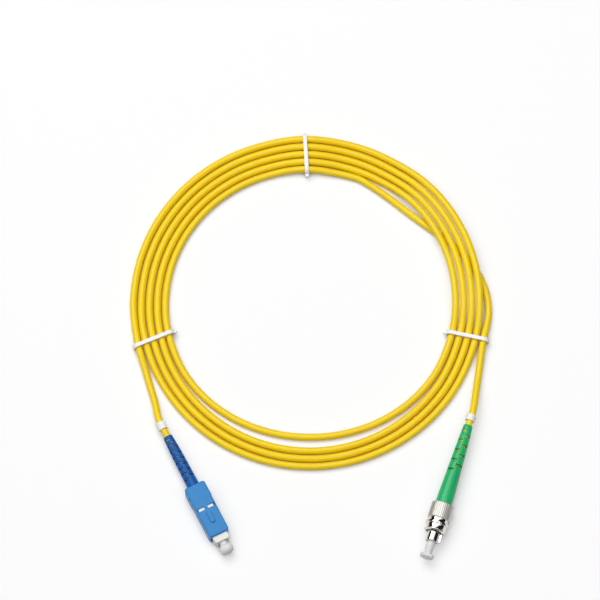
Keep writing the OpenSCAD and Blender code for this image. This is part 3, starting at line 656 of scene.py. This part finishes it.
def make_grip():
    """Grip with a wider rear, a key on top, windows over the frame's pads, and the frame's passage."""
    near_end = [0, 0.04, 0.12, 0.24, 0.4, 0.6, 0.9, GRIP_END]
    wide_rear = [2.4, 3.6, 4.8, 6, 7.1, 7.35, 7.55, 7.7, 7.763]
    narrow_front = [9, 11, 13, 15, 17, 19, 21, 22.4]
    stations = near_end + wide_rear + narrow_front + [SC_GRIP_LEN - z for z in reversed(near_end)]
    rings = []
    for z in stations:
        rear = half_at(z, 0, GRIP_REAR_LEN, GRIP_REAR_HALF_W, GRIP_END) if z <= GRIP_REAR_LEN else 0
        front = half_at(z, GRIP_END, SC_GRIP_LEN, GRIP_HALF_W, GRIP_END) if z >= GRIP_END else 0
        half_h = half_at(z, 0, SC_GRIP_LEN, GRIP_HALF_H, GRIP_CORNER)
        rings.append([(x, y, z) for x, y in rounded(max(rear, front), half_h, GRIP_CORNER)])
    grip = solid("grip_shell", skin(rings))
    combine(grip, "UNION", skin([key_layer(inset, y) for inset, y in KEY_LAYERS]))
    passage = skin([[(x, y, z) for x, y in rounded(PASSAGE_HALF_W, PASSAGE_HALF_H, PASSAGE_CORNER)]
                    for z in (-OUTSIDE, SC_GRIP_LEN + OUTSIDE)])
    windows = [bar(about(x, WINDOW_HALF_W), about(y, WINDOW_DEPTH), WINDOW_SPAN)
               for x in (-WINDOW_AT, WINDOW_AT) for y in (-GRIP_HALF_H, GRIP_HALF_H)]
    pads_runs = [bar(about(x, PADS_RUN_HALF_W), sorted((PADS_RUN_FROM_Y * s, PADS_RUN_TO_Y * s)),
                     PADS_RUN_SPAN) for x in (-PADS_AT, PADS_AT) for s in BOTH_SIDES]
    stops_run = bar(about(0, STOPS_RUN_HALF_W), about(0, STOPS_RUN_HALF_H), STOPS_RUN_SPAN)
    hooks_run = bar(about(0, HOOKS_RUN_HALF_W), about(0, HOOKS_RUN_HALF_H),
                    (SC_GRIP_LEN - HOOKS_RUN_LEN, SC_GRIP_LEN + OUTSIDE))
    combine(grip, "DIFFERENCE", passage, *windows, *pads_runs, stops_run, hooks_run)
    place = SC_PLACE @ Matrix.Translation((0, 0, SC_GRIP_FROM))
    put(grip, place, "sc_grip_body", "blue_plastic", BLUE, "sc_grip")


def make_plug_frame():
    """Frame with pads for the grip's windows, side stops, a bore for the ferrule, and shoulders."""
    near_end = [0, 0.03, 0.1, 0.2, 0.4, 0.6, 0.85, FRAME_END]
    stations = ([SC_FRAME_FROM + z for z in near_end] + [36, 40, 44, 48]
                + [SC_FRAME_TO - z for z in reversed(near_end)])
    rings = []
    for z in stations:
        half_w = half_at(z, SC_FRAME_FROM, SC_FRAME_TO, FRAME_HALF_W, FRAME_END)
        half_h = half_at(z, SC_FRAME_FROM, SC_FRAME_TO, FRAME_HALF_H, FRAME_CORNER)
        rings.append([(x, y, z) for x, y in rounded(half_w, half_h, FRAME_CORNER)])
    body = solid("plug_shell", skin(rings))
    pads = [bar(about(x, PADS_HALF_W), about(0, PADS_HALF_H), PADS_SPAN) for x in (-PADS_AT, PADS_AT)]
    stops = bar(about(0, STOPS_HALF_W), about(0, STOPS_HALF_H), STOPS_SPAN)
    combine(body, "UNION", *pads, stops)
    lip_back, lip_front = SC_TIP - LIP_BACK, SC_TIP - LIP_FRONT
    bore = lathe([(BORE_R, SC_FRAME_FROM - 1.5), (BORE_R, lip_back), (LIP_R, lip_back), (LIP_R, lip_front),
                  (MOUTH_R, lip_front), (MOUTH_R, SC_FRAME_TO - 0.25), (MOUTH_R + 0.3, SC_FRAME_TO + 0.05),
                  (MOUTH_R + 0.3, SC_FRAME_TO + 1.3)], closed=False)
    shoulders = [bar(sorted((SHOULDER_FROM_X * s, (FRAME_HALF_W + OUTSIDE) * s)), about(0, SHOULDER_HALF_H),
                     SHOULDER_SPAN) for s in BOTH_SIDES]
    combine(body, "DIFFERENCE", bore, *shoulders)
    put(body, SC_PLACE, "cord", "frame_plastic", WHITE, "sc_plug_frame")


# ---- Pieces of both plugs ----

FERRULE_R, FERRULE_LEN, FACE_ANGLE = 1.25, 10.5, math.radians(8)
SPRING_LEN, SPRING_R, SPRING_CURLS, SPRING_SIDES = 7.0, 1.45, 6, 32
SPRING_BEHIND, SPRING_CLEAR = 18.3, 0.05
WIRE_R, WIRE_SIDES = 0.2, 12
NEAR_AXIS = 0.01
# [radius, station] corners of the caps: head, stem and bore
SC_CAP = [(NEAR_AXIS, 57.8), (2.4, 57.8), (3, 56.9), (3, 55.2), (2.9, 54.9), (1.8, 54.2), (1.8, 47.8),
          (1.27, 47.8), (1.27, 54.1), (NEAR_AXIS, 54.1)]
FC_CAP = [(NEAR_AXIS, 61.6), (2.7, 61.6), (3, 61.2), (3, 60.4), (2.9, 60.2), (1.6, 59.6), (1.8, 56.25),
          (1.8, 52.3), (1.27, 52.3), (1.27, 58.9), (NEAR_AXIS, 58.9)]


def make_ferrule(name, place, body, tip, face_angle=0.0):
    """Rod with a tapered tip, cut off at an angle where it has one."""
    r, rear = FERRULE_R, tip - FERRULE_LEN
    profile = [(NEAR_AXIS, rear), (r, rear), (r, tip - 1), (r - 0.35, tip - 0.04), (NEAR_AXIS, tip)]
    mesh = lathe(soften(profile, 0.12), closed=False)
    if face_angle:
        across = Vector((0, -math.sin(face_angle), math.cos(face_angle)))
        point = Vector((0, 0, tip)) - across * r * math.sin(face_angle) / 2
        everything = mesh.verts[:] + mesh.edges[:] + mesh.faces[:]
        cut = bmesh.ops.bisect_plane(mesh, geom=everything, plane_co=point, plane_no=across, clear_outer=True)
        rim = [e for e in cut["geom_cut"] if isinstance(e, bmesh.types.BMEdge)]
        bmesh.ops.contextual_create(mesh, geom=rim)
        bmesh.ops.recalc_face_normals(mesh, faces=mesh.faces)
    put(solid(name + "_rod", mesh), place, body, "ceramic", CERAMIC, name)


def make_spring(name, place, tip):
    """Compression spring of round wire, from just ahead of its rear seat towards the tip."""
    seat = tip - SPRING_BEHIND
    start, rise = seat + SPRING_CLEAR + WIRE_R, SPRING_LEN - 2 * (SPRING_CLEAR + WIRE_R)
    count = SPRING_CURLS * SPRING_SIDES
    rings = []
    for i in range(count + 1):
        a = 2 * math.pi * i / SPRING_SIDES
        out = Vector((math.cos(a), math.sin(a), 0))
        centre = SPRING_R * out + Vector((0, 0, start + rise * i / count))
        rings.append([centre + WIRE_R * (math.cos(b) * out + math.sin(b) * Vector((0, 0, 1)))
                      for b in (2 * math.pi * k / WIRE_SIDES for k in range(WIRE_SIDES))])
    coil = put(solid(name + "_wire", skin(rings)), place, "cord", "steel", STEEL, name, sharp=60)
    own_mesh(coil)


def make_cap(name, place, body, profile):
    cap = lathe(soften(profile, 0.35, steps=4), closed=False, sides=64)
    put(solid(name + "_shell", cap), place, body, "cap_plastic", CAP, name)


# ---- FC plug ----

FC_TIP, FC_NUT_FROM, FC_NUT_TO, FC_BARREL_FROM, FC_BARREL_TO = 58.5, 37.2, 50.0, 43.8, 54.3
KNURLS, KNURL_LEN, KNURL_R, KNURL_DEPTH, KNURL_FLATNESS = 40, 6.9, 4.85, 0.12, 0.8
KNURL_EDGE_R, KNURL_EDGE_LEN, KNURL_MARGIN = 4.7, 0.2, 0.05
GROOVE_R, GROOVE_LEN, COLLAR_R, COLLAR_LEN = 4.2, 1.7, 5, 1
KNURLED_OUTSIDE = GROOVE_R + 0.1
SLEEVE_R, RIM_R = 4.4, 4.7
THREAD_PITCH, THREAD_MAJOR_R, THREAD_MINOR_R, THREAD_FROM = 0.75, 3.95, 3.6, 44.3
WEB_FROM, WEB_TO, WEB_R, REAR_BORE_R = 41.1, 43.5, 2.65, 3.75
BARREL_R, FLANGE_R, FLANGE_LEN, SCREW_R = 2.8, 3.4, 3, 2.4
FC_KEY_BASE, FC_KEY_TOP, FC_KEY_HALF_W, FC_KEY_FROM, FC_KEY_TO, FC_KEY_EDGE = 2.5, 3.7, 1.0, 50.4, 53.8, 0.15


def knurl(angle, r, z):
    """How far the knurl cuts in at an angle: ridges with round valleys between them."""
    if r < KNURLED_OUTSIDE or not FC_NUT_FROM + KNURL_MARGIN < z < FC_NUT_FROM + KNURL_LEN - KNURL_MARGIN:
        return 0
    share = (angle * KNURLS / (2 * math.pi)) % 1
    return KNURL_DEPTH * abs(2 * share - 1) ** KNURL_FLATNESS


def make_nut():
    """Coupling nut: straight knurl, groove, collar, front sleeve with a rim, and the thread inside."""
    knurl_to = FC_NUT_FROM + KNURL_LEN
    collar_from = knurl_to + GROOVE_LEN
    collar_to = collar_from + COLLAR_LEN
    outside = [(REAR_BORE_R, FC_NUT_FROM), (KNURL_EDGE_R, FC_NUT_FROM),
               (KNURL_R, FC_NUT_FROM + KNURL_EDGE_LEN), (KNURL_R, knurl_to - KNURL_EDGE_LEN),
               (KNURL_EDGE_R, knurl_to), (GROOVE_R, knurl_to), (GROOVE_R, collar_from),
               (COLLAR_R, collar_from), (COLLAR_R, collar_to), (SLEEVE_R, collar_to),
               (SLEEVE_R, FC_NUT_TO - 0.95), (RIM_R, FC_NUT_TO - 0.85), (RIM_R, FC_NUT_TO - 0.4),
               (SLEEVE_R - 0.05, FC_NUT_TO - 0.35), (4, FC_NUT_TO), (3.9, FC_NUT_TO),
               (THREAD_MINOR_R, FC_NUT_TO - 0.4)]
    thread, z = [], FC_NUT_TO - 0.7
    while z > THREAD_FROM:
        thread += [(THREAD_MAJOR_R, z - 0.3), (THREAD_MINOR_R, z - 0.65)]
        z -= THREAD_PITCH
    web = [(THREAD_MINOR_R, WEB_TO), (WEB_R, WEB_TO), (WEB_R, WEB_FROM), (REAR_BORE_R, WEB_FROM)]
    profile = soften(outside, 0.12, steps=2)[1:] + [Vector(p) for p in thread + web + outside[:1]]
    nut = solid("nut_shell", lathe(profile, sides=8 * KNURLS, dent=knurl))
    knurled = [face.index for face in nut.data.polygons
               if FC_NUT_FROM < face.center.z < knurl_to
               and math.hypot(face.center.x, face.center.y) > KNURLED_OUTSIDE]
    put(nut, FC_PLACE, "fc_nut_body", "nickel", NICKEL, "fc_coupling_nut", sharp=50)
    nut.data.materials.append(KNURLED)
    for index in knurled:
        nut.data.polygons[index].material_index = 1


def make_barrel():
    """Barrel with a rear flange, a lip for the ferrule's flange, and a key on top."""
    flange_to, lip_back, lip_front = FC_BARREL_FROM + FLANGE_LEN, FC_TIP - LIP_BACK, FC_TIP - LIP_FRONT
    screw_to = FC_TIP - 12.5
    profile = [(SCREW_R, FC_BARREL_FROM), (FLANGE_R, FC_BARREL_FROM), (FLANGE_R, flange_to),
               (BARREL_R, flange_to), (BARREL_R, FC_BARREL_TO - 0.25), (BARREL_R - 0.2, FC_BARREL_TO),
               (MOUTH_R + 0.15, FC_BARREL_TO), (MOUTH_R, FC_BARREL_TO - 0.2), (MOUTH_R, lip_front),
               (LIP_R, lip_front), (LIP_R, lip_back), (BORE_R, lip_back), (BORE_R, screw_to),
               (SCREW_R, screw_to)]
    barrel = solid("barrel_shell", lathe(soften(profile, 0.08, closed=True, steps=2)))
    base, top, side, edge = FC_KEY_BASE, FC_KEY_TOP, FC_KEY_HALF_W, FC_KEY_EDGE
    key = skin([[(base, -side, z), (top - edge, -side, z), (top, -side + edge, z), (top, side - edge, z),
                 (top - edge, side, z), (base, side, z)] for z in (FC_KEY_FROM, FC_KEY_TO)])
    combine(barrel, "UNION", key)
    put(barrel, FC_PLACE, "cord", "nickel", NICKEL, "fc_barrel")


def make_pieces():
    make_tie("top_tie", TOP_TIE, TOP_SLANT)
    make_tie("left_tie", LEFT_TIE, LEFT_SLANT)
    make_tie("right_tie", RIGHT_TIE, RIGHT_SLANT, LEAD_OUTSIDE_TIE)
    make_clip("sc_marker_clip", SC_PLACE, SC_CLIP_AT, SC_CLIP_LEN)
    make_clip("fc_marker_clip", FC_PLACE, FC_CLIP_AT, FC_CLIP_LEN)
    make_boot("sc_boot", SC_PLACE, "blue_plastic", BOOT_BLUE, **SC_BOOT)
    make_boot("fc_boot", FC_PLACE, "green_rubber", GREEN, **FC_BOOT)
    make_grip()
    make_plug_frame()
    make_nut()
    make_barrel()
    make_ferrule("sc_ferrule", SC_PLACE, "sc_ferrule_body", SC_TIP)
    make_ferrule("fc_ferrule", FC_PLACE, "fc_ferrule_body", FC_TIP, FACE_ANGLE)
    make_spring("sc_spring", SC_PLACE, SC_TIP)
    make_spring("fc_spring", FC_PLACE, FC_TIP)
    make_cap("sc_dust_cap", SC_PLACE, "sc_cap_body", SC_CAP)
    make_cap("fc_dust_cap", FC_PLACE, "fc_cap_body", FC_CAP)


make_pieces()


# ---- Floor and light ----

FLOOR_HALF = 3
FLOOR_SEEN, FLOOR_SENDS = (1, 1, 1, 1), (0.6, 0.6, 0.6, 1)
# Painted shade: warm orange for the floor in narrow gaps between strands, in place of their shadow and bounce
# light
PAINTED_GAP_SHADE = (0.95, 0.5, 0.1, 1)
# How open the floor is within this distance: where it counts as a narrow gap with painted shade, and as open
OPEN_WITHIN = 0.004
PAINTED_SHADE_FADE, OPEN = (0.1, 0.35), (0.35, 0.85)
SHADOW_THINNING = 0.4
KEY_LIGHT = {"place": (-0.3, 0.5, 1.1), "size": (0.9, 0.8), "power": 6}
FILL_LIGHT = {"place": (0.5, -0.4, 1.0), "size": (0.9, 0.8), "power": 2}
SKY_MIDDLE, SKY_EDGE = (-0.225, 0, 0.974), (0.72, 0.8)
SKY_AROUND, SKY_OVERHEAD = 0.02, 1.35


def make_floor():
    """Pale floor that looks white and keeps the object's shadow. It sends a little less light back up.

    What is seen of it is part plain white, which thins the shadow, but not right at the object. In the
    narrow gaps between strands it has a painted warm shade, as if the strands touched and lit each other.
    """
    data = bpy.data.meshes.new("floor")
    corners = [(x * FLOOR_HALF, y * FLOOR_HALF, 0) for x, y in ((-1, -1), (1, -1), (1, 1), (-1, 1))]
    data.from_pydata(corners, [], [(0, 1, 2, 3)])
    floor = bpy.data.objects.new("floor", data)
    bpy.context.collection.objects.link(floor)
    material = bpy.data.materials.new("floor")
    material.use_nodes = True
    tree = material.node_tree
    tree.nodes.clear()
    openness = tree.nodes.new("ShaderNodeAmbientOcclusion")
    openness.inputs["Distance"].default_value = OPEN_WITHIN
    seen = any_ray(tree, "Is Camera Ray", "Is Glossy Ray", "Is Transmission Ray")
    # Painted shade: the floor seen in narrow gaps turns warm orange
    painted_shade_mix = colour_mix(tree, ramp(tree, openness.outputs["AO"], *PAINTED_SHADE_FADE), PAINTED_GAP_SHADE, FLOOR_SEEN)
    colour = colour_mix(tree, seen, FLOOR_SENDS, FLOOR_SEEN)
    tree.links.new(painted_shade_mix.outputs[COLOUR_OUT], colour.inputs[COLOUR_B])
    diffuse = tree.nodes.new("ShaderNodeBsdfDiffuse")
    tree.links.new(colour.outputs[COLOUR_OUT], diffuse.inputs["Color"])
    white = tree.nodes.new("ShaderNodeEmission")
    plain = ramp(tree, openness.outputs["AO"], *OPEN, 0, SHADOW_THINNING)
    mix = tree.nodes.new("ShaderNodeMixShader")
    tree.links.new(calculate(tree, "MULTIPLY", seen, plain), mix.inputs[0])
    tree.links.new(diffuse.outputs[0], mix.inputs[1])
    tree.links.new(white.outputs[0], mix.inputs[2])
    out = tree.nodes.new("ShaderNodeOutputMaterial")
    tree.links.new(mix.outputs[0], out.inputs["Surface"])
    data.materials.append(material)


def softbox(name, place, size, power):
    lamp = bpy.data.lights.new(name, "AREA")
    lamp.shape = "RECTANGLE"
    lamp.size, lamp.size_y = size
    lamp.energy = power
    box = bpy.data.objects.new(name, lamp)
    box.location = place
    box.rotation_euler = (-Vector(place)).to_track_quat("-Z", "Y").to_euler()
    bpy.context.collection.objects.link(box)


def make_light():
    """Two softboxes, under a world that is bright overhead and dark around that."""
    softbox("key", **KEY_LIGHT)
    softbox("fill", **FILL_LIGHT)
    world = bpy.data.worlds.new("world")
    bpy.context.scene.world = world
    world.use_nodes = True
    tree = world.node_tree
    back = tree.nodes["Background"]
    back.inputs["Color"].default_value = (1, 1, 1, 1)
    place = tree.nodes.new("ShaderNodeTexCoord")
    overhead = tree.nodes.new("ShaderNodeVectorMath")
    overhead.operation = "DOT_PRODUCT"
    overhead.inputs[1].default_value = SKY_MIDDLE
    tree.links.new(place.outputs["Generated"], overhead.inputs[0])
    sky = ramp(tree, overhead.outputs["Value"], *SKY_EDGE, SKY_AROUND, SKY_OVERHEAD)
    strength = tree.nodes.new("ShaderNodeMix")
    strength.inputs[NUMBER_B].default_value = 1.0
    tree.links.new(any_ray(tree, "Is Camera Ray"), strength.inputs[MIX_FACTOR])
    tree.links.new(sky, strength.inputs[NUMBER_A])
    tree.links.new(strength.outputs[NUMBER_OUT], back.inputs["Strength"])
    bpy.context.scene.view_settings.view_transform = "Standard"


make_floor()
make_light()

bpy.context.view_layer.update()
